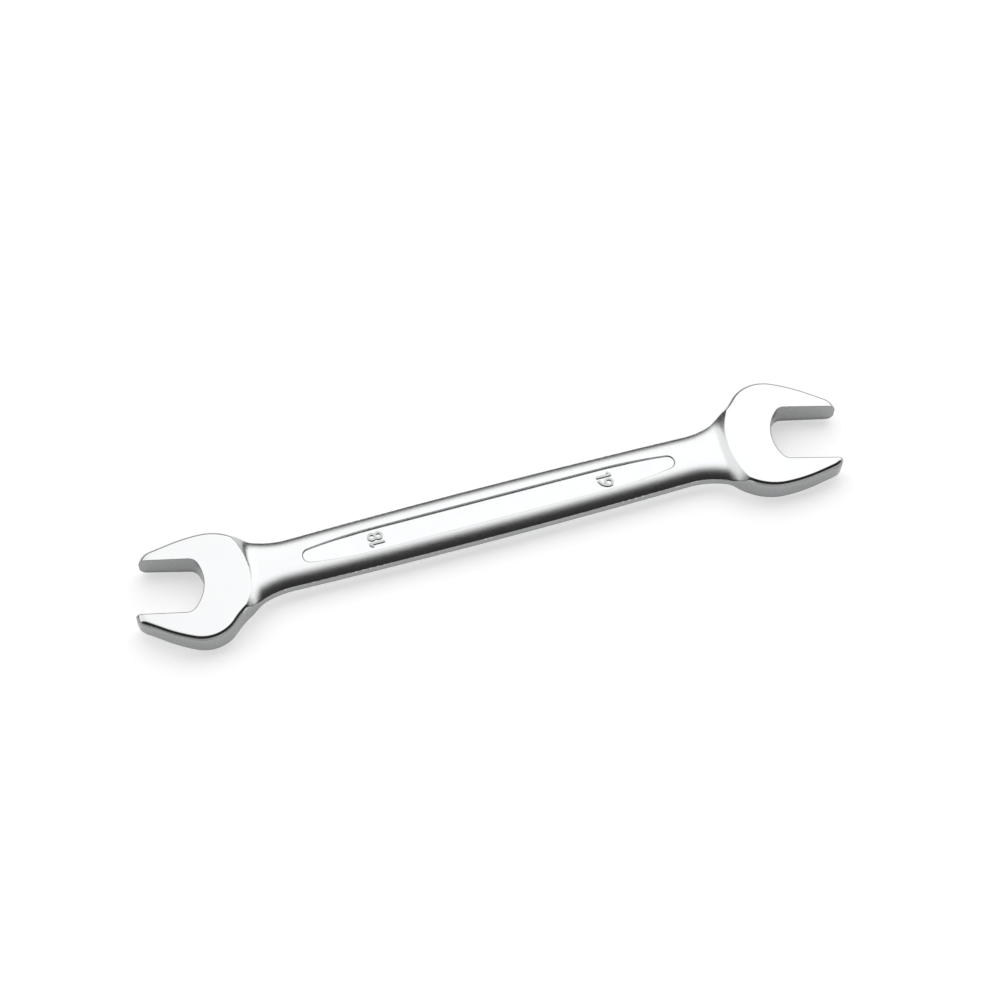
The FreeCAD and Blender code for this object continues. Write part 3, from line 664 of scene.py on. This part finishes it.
def painted_shade_material(name, colour):
    """Trimmed sides and stamped rims, whose chrome is duller, and whose darker, greyer colour is painted
    shade.
    """
    made, t = material(name)
    place = t.add("ShaderNodeTexCoord").outputs["Object"]
    cloud = t.noise(place, 110.0)
    grain = t.noise(t.stretched(place, (1.0, 1.0, 0.25)), 3000.0, 2.0)
    # The foot of each wall is painted darker, painted shade where the walls meet the floor.
    clear_of_foot_shade = t.smooth(t.add("ShaderNodeSeparateXYZ", {0: place}).outputs["Z"], 0.0, 0.003)
    colour = mixed(t, clear_of_foot_shade, darker(colour, FOOT_PAINTED_SHADE), tinted(t, cloud, colour))
    rough = t.add("ShaderNodeMapRange", {"Value": grain, "To Min": 0.18, "To Max": 0.34}).outputs[0]
    bump = t.add("ShaderNodeBump", {"Height": grain, "Strength": 0.3, "Distance": 0.00003}).outputs[0]
    finished(t, colour, rough, bump)
    return made


def mark_material_with_painted_shade():
    """Raised numbers: bright on top, with painted shade down their sides."""
    made, t = material("mark_chrome_and_painted_shade")
    place = t.add("ShaderNodeTexCoord").outputs["Object"]
    cloud = t.noise(place, 900.0)
    up = t.add("ShaderNodeSeparateXYZ", {0: t.add("ShaderNodeNewGeometry").outputs["Normal"]}).outputs["Z"]
    # Faces that lean away from straight up take the painted shade colour.
    colour = mixed(t, t.smooth(up, 0.5, 0.9), MARK_SIDE_PAINTED_SHADE, tinted(t, cloud, MARK_TOP))
    rough = t.add("ShaderNodeMapRange", {"Value": cloud, "To Min": 0.12, "To Max": 0.25}).outputs[0]
    bump = t.add("ShaderNodeBump", {"Height": cloud, "Strength": 0.1, "Distance": 0.00003}).outputs[0]
    finished(t, colour, rough, bump)
    return made


def finished(t, colour, rough, bump):
    inputs = {"Base Color": colour, "Metallic": 1.0, "Roughness": rough, "Normal": bump}
    shader = t.add("ShaderNodeBsdfPrincipled", inputs)
    t.add("ShaderNodeOutputMaterial", {"Surface": shader.outputs[0]})


def polished_material():
    made, t = material("polished_chrome")
    place = t.add("ShaderNodeTexCoord").outputs["Object"]
    cloud = t.noise(place, 160.0)
    lines = t.noise(t.stretched(place, (1.0, 0.08, 1.0)), 5000.0, 2.0)
    rough = t.add("ShaderNodeMapRange", {"Value": cloud, "To Min": 0.03, "To Max": 0.07}).outputs[0]
    bump = t.add("ShaderNodeBump", {"Height": lines, "Strength": 0.012, "Distance": 0.00003}).outputs[0]
    finished(t, tinted(t, cloud), rough, bump)
    return made


def satin_material():
    made, t = material("satin_chrome")
    place = t.add("ShaderNodeTexCoord").outputs["Object"]
    cloud = t.noise(place, 160.0)
    grain = t.noise(t.stretched(place, (0.6, 1.0, 1.0)), 4200.0, 3.0, 0.7)
    spread = {"Value": grain, "From Min": 0.3, "From Max": 0.7, "To Min": 0.13, "To Max": 0.24}
    rough = t.add("ShaderNodeMapRange", spread).outputs[0]
    bump = t.add("ShaderNodeBump", {"Height": grain, "Strength": 0.5, "Distance": 0.00003}).outputs[0]
    finished(t, tinted(t, cloud), rough, bump)
    return made


def dress(node, made):
    """Puts one material on a CAD node."""
    piece = frame["nodes"][node]
    for slot in piece.material_slots:
        slot.material = made


def dress_forging():
    """One welded piece with rolled-off necks stands for the three CAD nodes of the forging."""
    piece = bpy.data.objects.new("forging", forged_mesh())
    bpy.context.scene.collection.objects.link(piece)
    piece.data.materials.append(polished_material())
    piece.data.materials.append(satin_material())
    # The side and rim slots are darker chrome, painted shade.
    piece.data.materials.append(painted_shade_material("side_chrome_painted_shade", SIDE_PAINTED_SHADE))
    piece.data.materials.append(painted_shade_material("rim_chrome_painted_shade", RIM_PAINTED_SHADE))
    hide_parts(*FORGED)
    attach(piece, "root")


def main():
    bpy.context.scene.view_settings.view_transform = "Standard"
    make_camera()
    light_the_world()
    make_floor()
    dress_forging()
    marking = mark_material_with_painted_shade()
    for node in ("mark_18_one", "mark_18_eight", "mark_19_one", "mark_19_nine"):
        dress(node, marking)


main()
